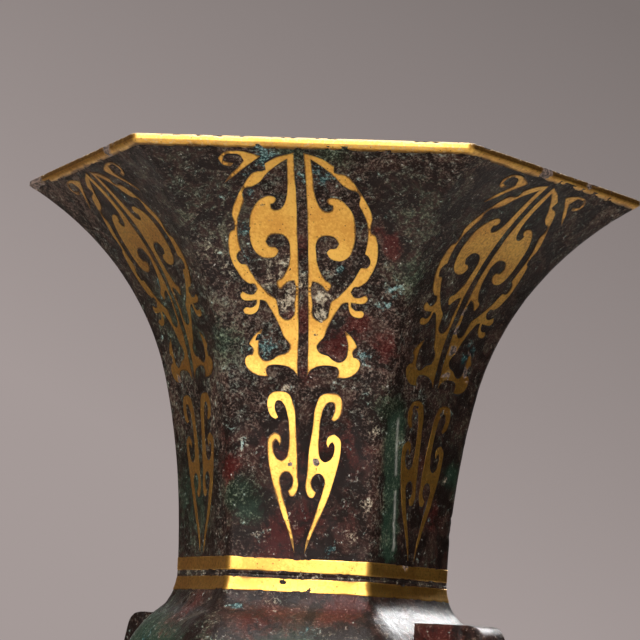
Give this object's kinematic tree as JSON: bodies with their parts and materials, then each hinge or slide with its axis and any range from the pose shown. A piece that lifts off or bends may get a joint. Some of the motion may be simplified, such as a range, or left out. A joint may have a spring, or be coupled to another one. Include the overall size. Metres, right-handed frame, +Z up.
{
  "type": "gu vessel",
  "caption": "Hexagonal bronze gu with a flared mouth, swelling bulb, flanges and spreading hollow foot, its neck inlaid with gold scrollwork and edged with gold bands.",
  "frame": {"origin": "centre of the foot's underside, on the surface the vessel stands on", "axes": "+Z up along the vessel's axis, X through the two flanges, Y through two opposite corners"},
  "size_m": [0.1408, 0.1614, 0.255],
  "materials": {
    "bronze": "dark patinated bronze with green, blue and red corrosion",
    "gold": "hand-chased gold sheet, worn satin"
  },
  "bodies": {
    "root": {"neck": "bronze", "bulb": "bronze", "foot": "bronze", "side1_flange": "bronze", "side4_flange": "bronze", "rim_strip": "gold", "neck_band_upper": "gold", "neck_band_lower": "gold", "foot_band_upper": "gold", "foot_band_lower": "gold", "foot_strip": "gold", "side1_curl_left": "gold", "side1_curl_right": "gold", "side1_drop_left": "gold", "side1_drop_right": "gold", "side1_leaf_left": "gold", "side1_leaf_right": "gold", "side2_curl_left": "gold", "side2_curl_right": "gold", "side2_drop_left": "gold", "side2_drop_right": "gold", "side2_leaf_left": "gold", "side2_leaf_right": "gold", "side3_curl_left": "gold", "side3_curl_right": "gold", "side3_drop_left": "gold", "side3_drop_right": "gold", "side3_leaf_left": "gold", "side3_leaf_right": "gold", "side4_curl_left": "gold", "side4_curl_right": "gold", "side4_drop_left": "gold", "side4_drop_right": "gold", "side4_leaf_left": "gold", "side4_leaf_right": "gold", "side5_curl_left": "gold", "side5_curl_right": "gold", "side5_drop_left": "gold", "side5_drop_right": "gold", "side5_leaf_left": "gold", "side5_leaf_right": "gold", "side6_curl_left": "gold", "side6_drop_left": "gold", "side6_drop_right": "gold", "side6_leaf_left": "gold", "side6_leaf_right": "gold"}
  },
  "joints": []
}
